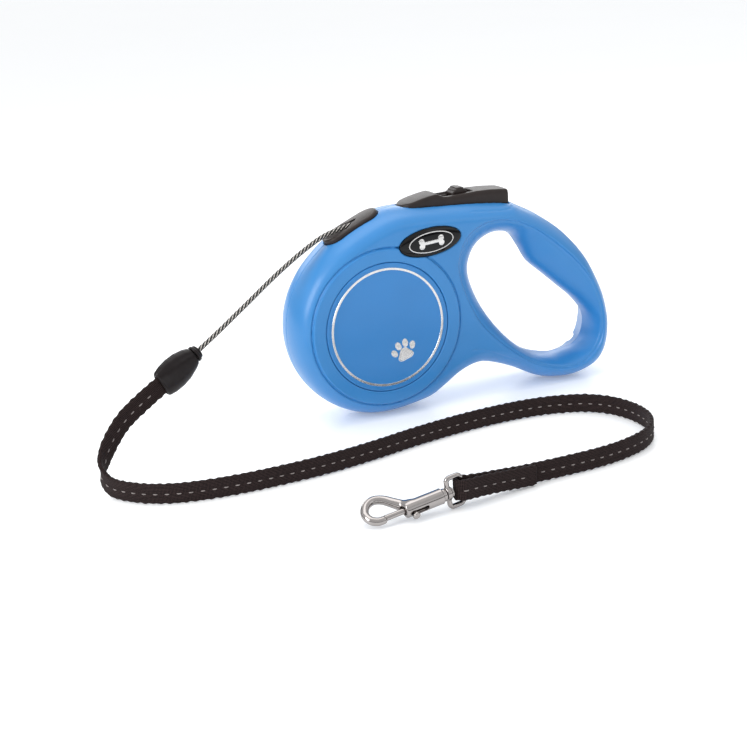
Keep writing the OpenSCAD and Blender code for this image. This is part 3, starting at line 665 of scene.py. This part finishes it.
# ------------------------------------------------------------------ badges
def badge(side):
    """Domed oval badge with a silver line and a bone."""
    word = "front" if side < 0 else "rear"
    place = (Matrix.Translation(Vector((BADGE[0], 0, BADGE[1])) * MM)
             @ Matrix.Rotation(math.radians(-BADGE_TURN), 4, "Y"))

    def dome(x, z):
        s = np.clip(1 - (x / BADGE_L) ** 2 - (z / BADGE_W) ** 2, 0, 1)
        return 14.95 + 1.42 * s ** 0.42

    points = []
    rings = [math.sin(math.pi / 2 * k / 22) for k in range(23)]
    for s in rings:
        for k in range(96):
            a = 2 * math.pi * k / 96
            s2 = max(s, 0.01)
            px, pz = BADGE_L * s2 * math.cos(a), BADGE_W * s2 * math.sin(a)
            points.append((px, side * float(dome(px, pz)), pz))
    for k in range(96):
        a = 2 * math.pi * k / 96
        points.append((BADGE_L * math.cos(a), side * 14.22, BADGE_W * math.sin(a)))
    faces = skin(0, len(rings) + 1, 96, side > 0)
    inner, outer = list(range(96)), list(range(len(points) - 96, len(points)))
    faces.append(inner[::-1] if side < 0 else inner)
    faces.append(outer if side < 0 else outer[::-1])
    obj = make_mesh(word + "_badge_dome", points, faces, gloss, place)
    piece(obj, "casing", "badge_gloss", word + "_badge")

    def raised(name, lines, width):
        """Thin raised lines of foil on the dome."""
        pts, fcs = [], []
        for line, closed in lines:
            n = len(line)
            start = len(pts)
            for i, p in enumerate(line):
                a = line[(i - 1) % n] if closed else line[max(i - 1, 0)]
                b = line[(i + 1) % n] if closed else line[min(i + 1, n - 1)]
                d = np.array(b) - np.array(a)
                d = d / np.linalg.norm(d)
                side_way = np.array([-d[1], d[0]])
                for across, lift in ((-1, -0.1), (-0.7, 0.045), (0.7, 0.045), (1, -0.1)):
                    q = np.array(p) + side_way * across * width / 2
                    pts.append((q[0], side * (float(dome(*q)) + lift), q[1]))
            for i in range(n if closed else n - 1):
                for c in range(3):
                    j = (i + 1) % n
                    quad = [start + i * 4 + c, start + j * 4 + c, start + j * 4 + c + 1,
                            start + i * 4 + c + 1]
                    fcs.append(quad if side < 0 else quad[::-1])
        obj = make_mesh(name, pts, fcs, foil, place)
        piece(obj, "casing", "badge_gloss")

    oval = [(10.6 * math.cos(a), 4.35 * math.sin(a)) for a in
            np.linspace(0, 2 * math.pi, 120, endpoint=False)]
    raised(word + "_badge_oval", [(oval, True)], 0.5)
    pts, fcs = [], []
    lobe_x, lobe_z, lobe_r, bar = 4.7, 1.15, 1.35, 0.72
    columns = np.linspace(-lobe_x - lobe_r + 0.01, lobe_x + lobe_r - 0.01, 90)
    for half in (1, -1):
        start = len(pts)
        for px in columns:
            reach = math.sqrt(max(lobe_r ** 2 - (abs(px) - lobe_x) ** 2, 0))
            top = max(lobe_z + reach if abs(abs(px) - lobe_x) < lobe_r else 0,
                      bar if abs(px) < lobe_x else 0)
            low = max(lobe_z - reach, 0) if abs(px) > lobe_x else 0
            for share, lift in ((0, 0.06), (0.5, 0.06), (0.94, 0.05), (1.0, -0.1)):
                pz = half * (low + (top - low) * share)
                pts.append((px, side * (float(dome(px, pz)) + lift), pz))
        for i in range(len(columns) - 1):
            for c in range(3):
                quad = [start + i * 4 + c, start + (i + 1) * 4 + c, start + (i + 1) * 4 + c + 1,
                        start + i * 4 + c + 1]
                fcs.append(quad if side * half < 0 else quad[::-1])
    piece(make_mesh(word + "_badge_bone", pts, fcs, foil, place), "casing", "badge_gloss")


badge(-1)
badge(1)


# ------------------------------------------------------------------ cord guide
def guide_field(x, y, z):
    plan = np.hypot(np.maximum(np.abs(x) - (GUIDE_L - GUIDE_W) / 2, 0), y) - GUIDE_W / 2
    crown = 0.85 - 0.012 * y * y - 0.0016 * x * x
    pad = rounded(plan + 0 * z, z - crown, 0.9)
    solid_part = np.maximum(pad, -5 - z)
    scoop = ball(x, y, z, (-6.3, 0, 2.5), (7.6, 4.4, 4.0))
    solid_part = cut(solid_part, scoop, 0.7)
    lean = math.radians(14)
    u = -(x - 0.08) * math.cos(lean) + (z + 0.31) * math.sin(lean)
    v = (x - 0.08) * math.sin(lean) + (z + 0.31) * math.cos(lean)
    bore = np.maximum(np.hypot(y, v) - 1.72, -u - 6.5)
    bore = np.maximum(bore, u - 9)
    solid_part = cut(solid_part, bore, 0.5)
    down = math.radians(62)
    px, pz = x - 5.1, z + 1.9
    w = px * math.cos(down) - pz * math.sin(down)
    q = px * math.sin(down) + pz * math.cos(down)
    drop = np.maximum(np.hypot(y, q) - 1.95, -w)
    return cut(solid_part, drop, 0.3)


guide_place = placed(GUIDE, 0, -GUIDE_LEAN)
piece(solid("cord_guide_pad", (-13.8, -6.3, -5), (13.8, 6.3, 1.2), 0.22, guide_field, dark,
            guide_place), "casing", "dark_plastic", "cord_guide")


# ------------------------------------------------------------------ brake button and slider
def button_field(x, y, z):
    plan = button_plan(x, y)
    top = np.interp(x, [-25, -22, -17, -12, -8.9, -7.9, -6.6, -4.8, -2.5, 4, 12, 18, 24, 26.4,
                        27.6], [92.3, 93.4, 94.7, 95.7, 96.15, 96.1, 95.4, 94.6, 94.4, 94.7, 95.1,
                                95.0, 94.5, 94.2, 93.9])
    crown = top - 0.006 * y * y
    shape = rounded(plan + 0 * z, z - crown, 0.8)
    bevel = plan * 0.96 + (z - top + 1.4) * 0.28
    shape = common(shape, bevel, 0.3)
    shape = np.maximum(shape, 87.6 - z)
    dish = block(x, y, z, (-6.6, -4.1, 93.5), (10.6, 4.1, 99), 0.6)
    shape = cut(shape, dish, 0.5)
    hollow = block(x, y, z, (-19, -4.4, 80), (24, 4.4, 92.2), 0.4)
    shape = cut(shape, hollow, 0.2)
    slot = block(x, y, z, (-4.0, -1.9, 80), (8.1, 1.9, 100), 0.2)
    shape = cut(shape, slot, 0.2)
    pawl = block(x, y, z, (-22.7, 0.7, 78.0), (-20.3, 2.3, 92), 0.15)
    return join(shape, pawl, 0.2)


piece(solid("brake_button_cap", (-25, -6.5, 77.7), (27.6, 6.5, 96.3), 0.25, button_field, dark),
      "button", "dark_plastic", "brake_button")


def slider_field(x, y, z):
    x = x - SLIDER_X
    top = np.interp(x, [-3.7, -3.0, -1.0, -0.3, 0.9, 1.6, 3.4, 4.1],
                    [94.9, 95.3, 96.9, 97.15, 97.15, 96.9, 95.3, 94.9])
    bump = rounded(np.maximum(np.abs(x - 0.2) - 3.8, np.abs(y) - 3.6) + 0 * z, z - top, 0.35)
    bump = np.maximum(bump, 93.7 - z)
    for at in (-2.3, -1.2, 1.9, 2.9):
        ridge = np.hypot(x - at, z - np.interp(at, [-3, -1, 1.6, 3.4], [95.35, 97, 97, 95.35]))
        bump = join(bump, np.maximum(ridge - 0.32, np.abs(y) - 3.1), 0.12)
    stem = block(x, y, z, (-3.4, -1.6, 91.2), (3.4, 1.6, 95), 0.2)
    foot = block(x, y, z, (-4.5, -3.6, 90.8), (4.5, 3.6, 92.0), 0.2)
    return join(join(bump, stem, 0.2), foot, 0.1)


piece(solid("lock_slider_bump", (-0.4, -3.8, 90.8), (9.0, 3.8, 97.2), 0.18, slider_field, dark),
      "slider", "dark_plastic", "lock_slider")


# ------------------------------------------------------------------ braided cord
def frames_along(points, flat):
    """Sideways and upward directions along a line."""
    way = np.gradient(points, axis=0)
    way /= np.linalg.norm(way, axis=1)[:, None]
    side = np.stack([way[:, 1], -way[:, 0], np.zeros(len(way))], 1)
    side /= np.linalg.norm(side, axis=1)[:, None]
    if flat:
        side = relaxed(side, 6)
        side /= np.linalg.norm(side, axis=1)[:, None]
    return side, np.cross(side, way)


def braided_cord():
    """Sixteen strands that pass over and under each other round the cord's centre line; four are
    light, which makes the cord's flecks."""
    line, run = even_line(CORD, 0.3)
    line = relaxed(line, 8)
    side, up = frames_along(line, False)
    turn_length, strands = 9.5, 8
    points, faces, kinds = [], [], []
    for hand in (1, -1):
        for s in range(strands):
            phase = hand * 2 * math.pi * run / turn_length + 2 * math.pi * s / strands
            weave = np.cos(2 * math.pi * run / turn_length * strands + math.pi * s * hand
                           + (0 if hand > 0 else math.pi))
            light = hand > 0 and s % 2 == 0
            wide = 0.27 if light else 0.36
            centre_r = 0.84 + 0.10 * weave 
            centre = (line + (centre_r * np.cos(phase))[:, None] * side
                      + (centre_r * np.sin(phase))[:, None] * up)
            out = np.cos(phase)[:, None] * side + np.sin(phase)[:, None] * up
            way = np.gradient(centre, axis=0)
            way /= np.linalg.norm(way, axis=1)[:, None]
            across = np.cross(out, way)
            start = len(points)
            for c, o, a in zip(centre, out, across):
                for k in range(6):
                    b = 2 * math.pi * k / 6
                    points.append(c + 0.18 * math.sin(b) * o + wide * math.cos(b) * a)
            strand = skin(start, len(centre), 6)
            faces += strand
            kinds += [int(light)] * len(strand)
    core = len(points)
    for p, s, u in zip(line, side, up):
        for k in range(10):
            b = 2 * math.pi * k / 10
            points.append(p + 0.74 * (math.cos(b) * s + math.sin(b) * u))
    faces += skin(core, len(line), 10, True)
    for at, order in ((core, 1), (core + (len(line) - 1) * 10, -1)):
        faces.append(tuple(range(at, at + 10))[::order])
    kinds += [0] * (len(faces) - len(kinds))
    obj = make_mesh("braided_cord", np.array(points), faces, strand_black)
    obj.data.materials.append(strand_grey)
    obj.data.polygons.foreach_set("material_index", kinds)
    return obj, line, run[-1]


cord_obj, cord_line, cord_length = braided_cord()


# ------------------------------------------------------------------ stop plug
def plug_field(x, y, z):
    s = np.clip(x / 20.0, 0, 1)
    tall = np.interp(s, [0, 0.06, 0.2, 0.4, 0.6, 0.8, 0.94, 1.0],
                     [2.9, 3.9, 5.3, 6.6, 7.05, 6.85, 6.2, 5.6])
    thick = np.interp(s, [0, 0.06, 0.2, 0.4, 0.6, 0.8, 0.94, 1.0],
                      [2.6, 3.1, 3.6, 3.95, 4.0, 3.6, 2.9, 2.5])
    egg = (((np.abs(y) / thick) ** 2.3 + (np.abs(z) / tall) ** 2.3 + 1e-9) ** (1 / 2.3) - 1) * 3
    shape = common(egg, np.abs(x - 10.55) - 9.35, 0.9)
    shape = cut(shape, np.maximum(np.hypot(y, z) - 1.42, x - 8), 0.2)
    mouth = block(x, y, z, (10, -1.25, -4.5), (40, 1.25, 4.5), 0.3)
    shape = cut(shape, mouth, 0.35)
    seam = np.maximum(np.abs(y) - 0.12, -egg - 0.25)
    return np.where(x > 3, cut(shape, seam, 0.15), shape)


def ferrule_field(x, y, z):
    r = np.hypot(y, z)
    cup = rounded(r - 3.0, np.abs(x + 0.3) - 1.25, 0.4)
    flange = rounded(r - 3.65, np.abs(x - 0.3) - 0.65, 0.35)
    return cut(join(cup, flange, 0.35), r - 1.6, 0.3)


plug_place = placed(CORD[-1], PLUG_TURN, PLUG_DIP)
plug = piece(solid("stop_plug_body", (0, -4.2, -7.3), (20, 4.2, 7.3), 0.22, plug_field,
                   plug_dark, plug_place), "lead", "plug_plastic", "stop_plug")
ferrule = piece(solid("stop_plug_collar", (-1.7, -3.8, -3.8), (1.1, 3.8, 3.8), 0.16,
                      ferrule_field, plug_dark, plug_place), "lead", "plug_plastic",
                "cord_ferrule")
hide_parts("cord")
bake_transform(cord_obj)


# ------------------------------------------------------------------ strap
def webbing_strip(name, route, nap=0.09):
    """Woven strip on edge along a route, with ribs, a wavy selvedge and rounded edges."""
    line, run = even_line(route, 0.42)
    line = relaxed(line, 10)
    side, up = frames_along(line, True)
    rows = 12
    half_w, half_t = STRAP_W / 2 - 0.15, STRAP_T / 2 - 0.12
    section = [(half_t, v) for v in np.linspace(-half_w + 0.5, half_w - 0.5, rows)]
    section += [(half_t * 0.72, half_w - 0.12), (0, half_w), (-half_t * 0.72, half_w - 0.12)]
    section += [(-half_t, v) for v in np.linspace(half_w - 0.5, -half_w + 0.5, rows)]
    section += [(-half_t * 0.72, -half_w + 0.12), (0, -half_w), (half_t * 0.72, -half_w + 0.12)]
    n = len(section)
    around = np.concatenate([[0], np.cumsum([math.dist(section[i], section[i + 1])
                                             for i in range(n - 1)])])
    points, uv = [], []
    for i, (p, s, u) in enumerate(zip(line, side, up)):
        wave = 0.15 * math.sin(2 * math.pi * run[i] / 3.3) + 0.07 * math.sin(run[i] * 1.23 + 1)
        for k, (a, b) in enumerate(section):
            face = abs(a) > half_t * 0.9
            phase = run[i] / 2.1 + (0.5 if k % 2 else 0)
            rib = nap * math.sin(2 * math.pi * phase) if face else 0
            edge = wave if abs(b) > half_w - 0.3 else 0
            grow = 1 if a > 0 else -1
            points.append(p + (a + grow * rib) * s + (b + math.copysign(1, b) * edge) * u)
            uv.append((run[i], around[k]))
    faces = skin(0, len(line), n)
    faces += [tuple(range(n))[::-1], tuple(range((len(line) - 1) * n, len(line) * n))]
    return make_mesh(name, np.array(points), faces, webbing, uv=uv), line, run, side, up


def stitches(name, line, run, side, up, start, stop, faces_on=(1, -1), pitch=4.6, long=1.8):
    """A running stitch down the middle of the strip."""
    points, faces = [], []
    at = start
    while at + long < stop:
        for way in faces_on:
            first = at if way > 0 else at + pitch / 2
            base = len(points)
            for i, t in enumerate(np.linspace(0, 1, 9)):
                where = first + t * long
                p = [np.interp(where, run, line[:, c]) for c in range(3)]
                s = [np.interp(where, run, side[:, c]) for c in range(3)]
                u = [np.interp(where, run, up[:, c]) for c in range(3)]
                p, s, u = np.array(p), np.array(s), np.array(u)
                lift = STRAP_T / 2 - 0.12 + 0.22 * math.sin(math.pi * t) - 0.05
                fat = 0.08 + 0.15 * math.sin(math.pi * t) ** 0.5
                for k in range(8):
                    b = 2 * math.pi * k / 8
                    points.append(p + s * way * (lift + 0.65 * fat * math.sin(b))
                                  + u * fat * 1.15 * math.cos(b))
            faces += skin(base, 9, 8, way < 0)
            faces.append(tuple(range(base, base + 8))[::-way])
            faces.append(tuple(range(base + 64, base + 72))[::way])
        at += pitch
    return make_mesh(name, np.array(points), faces, thread)


strap_obj, strap_line, strap_run, strap_side, strap_up = webbing_strip("webbing_strap", STRAP)
piece(strap_obj, "lead", "webbing", "strap")
fold_obj, fold_line, fold_run, fold_side, fold_up = webbing_strip("strap_end_loop", FOLD)
piece(fold_obj, "lead", "webbing", "strap")
sewn = piece(stitches("strap_stitching", strap_line, strap_run, strap_side, strap_up, 11.5,
                      strap_run[-1] - 3), "lead", "webbing")
fold_sewn = piece(stitches("loop_stitching", fold_line, fold_run, fold_side, fold_up, 14,
                           fold_run[-1] - 1.5), "lead", "webbing")


# ------------------------------------------------------------------ swivel bail and hook
def bail_field(x, y, z):
    """Round-cornered wire loop with the eye that the hook's rivet turns in."""
    half, long, r = 5.9, 6.1, 1.0
    corner = 1.6
    loop = []
    for cx, cz, a0 in ((long - corner, half - corner, 90), (corner, half - corner, 180),
                       (corner, -half + corner, 270), (long - corner, -half + corner, 360)):
        arc = [math.radians(a) for a in range(a0 - 90, a0 + 1, 15)]
        loop += [(cx + corner * math.cos(a), 0, cz + corner * math.sin(a)) for a in arc]
    loop = np.array(loop + loop[:1])
    wire = tube(x, y, z, loop, np.full(len(loop), r))
    eye = rod(x, y, z, long - 1.0, long + 0.9, 2.5, 0.4)
    shape = join(wire, eye, 0.7)
    return cut(shape, np.maximum(np.hypot(y, z) - 1.31, 4.3 - x), 0.15)


def hook_field(x, y, z):
    """Barrel with the bore and slot of the bolt, a collar and the curved bar of the eye."""
    barrel = rod(x, y, z, 9, 25, 3.05, 0.9)
    collar = rod(x, y, z, 7.3, 10, 2.5, 0.35)
    bead = np.hypot(np.hypot(y, z) - 2.7, x - 9.3) - 0.42
    shape = join(join(barrel, collar, 0.4), bead, 0.25)
    line = smooth_line(HOOK_BAR, 5)
    line = np.stack([line[:, 0], 0 * line[:, 0], line[:, 1]], 1)
    share = np.linspace(0, 1, len(line))
    radii = np.interp(share, [0, 0.15, 0.35, 0.6, 0.85, 1], [2.3, 2.1, 1.75, 1.65, 1.6, 1.5])
    shape = join(shape, tube(x, y, z, line, radii), 1.2)
    shape = cut(shape, np.maximum(np.hypot(y, z) - 1.27, x - 9.62), 0.1)
    shape = cut(shape, np.maximum(np.hypot(y, z) - 1.81, np.abs(x - 20.85) - 10.65), 0.12)
    v, w = -z + 0 * y, y + 0 * z
    slot = rounded(np.abs(x - 19.5) - 3.7 + 0 * w, np.abs(w) - 1.15 + 0 * x, 0.8)
    return cut(shape, np.maximum(slot, -v), 0.25)


def bolt_field(x, y, z):
    """Sliding bolt with its thumb knob."""
    shape = join(rod(x, y, z, 16.5, 24.4, 1.75, 0.25), rod(x, y, z, 16.5, 33.5, 1.15, 0.4), 0.3)
    v, w = -z + 0 * y, y + 0 * z
    r = np.hypot(x - 22, w)
    stem = np.maximum(r - 0.85, np.maximum(-v, v - 4.4))
    knob = rounded(r - 1.5 + 0 * v, np.abs(v - 4.2) - 0.68, 0.55)
    return join(join(shape, stem, 0.3), knob, 0.3)


bail_place = placed(HOOK, HOOK_TURN, HOOK_DIP)
hook_place = bail_place @ Matrix.Rotation(math.radians(HOOK_ROLL), 4, "X")
bail = piece(solid("swivel_bail_wire", (-1.1, -2.7, -7), (7.2, 2.7, 7), 0.16, bail_field,
                   chrome, bail_place), "bail", "chrome", "swivel_bail")
hook = piece(solid("snap_hook_body", (7, -3.2, -3.3), (40.8, 3.2, 11.8), 0.2, hook_field,
                   chrome, hook_place), "hook", "chrome", "hook_body")
bolt = piece(solid("snap_hook_bolt", (16.4, -1.9, -5.0), (33.6, 1.9, 1.9), 0.16, bolt_field,
                   chrome, hook_place), "bolt", "chrome", "hook_bolt")


# ------------------------------------------------------------------ floor, lights and world
def add_floor():
    half = 6000
    obj = make_mesh("floor", [(-half, -half, -0.02), (half, -half, -0.02), (half, half, -0.02),
                              (-half, half, -0.02)], [(0, 1, 2, 3)], floor_white, smooth=False)


def add_world():
    world = bpy.data.worlds.new("studio")
    bpy.context.scene.world = world
    world.use_nodes = True
    nodes, links = world.node_tree.nodes, world.node_tree.links
    where = nodes.new("ShaderNodeTexCoord")
    parts = nodes.new("ShaderNodeSeparateXYZ")
    ramp = nodes.new("ShaderNodeValToRGB")
    for at, level in ((0.0, 0.06), (0.33, 0.10), (0.6, 0.72), (1.0, 1.0)):
        element = (ramp.color_ramp.elements[0] if at == 0 else ramp.color_ramp.elements[1]
                   if at == 1 else ramp.color_ramp.elements.new(at))
        element.color = (level * 0.97, level * 0.985, level, 1)
    links.new(where.outputs["Generated"], parts.inputs["Vector"])
    links.new(parts.outputs["Z"], ramp.inputs["Fac"])
    links.new(ramp.outputs["Color"], nodes["Background"].inputs["Color"])
    nodes["Background"].inputs["Strength"].default_value = 1.1


add_floor()
add_world()
add_area("left_key", (-0.85, -0.25, 0.42), (-0.04, 0, 0.05), (0.35, 0.6), 3.6)
add_area("top_key", (-0.05, 0.12, 0.85), (0, -0.02, 0.03), (0.8, 0.45), 1.6)
add_area("front_fill", (0.55, -0.8, 0.5), (0, -0.05, 0.02), (0.5, 0.4), 0.35)
add_area("back_card", (0.25, 1.0, 0.42), (0, 0, 0.05), (1.4, 0.4), 3.4)
bpy.context.scene.view_settings.view_transform = "Standard"
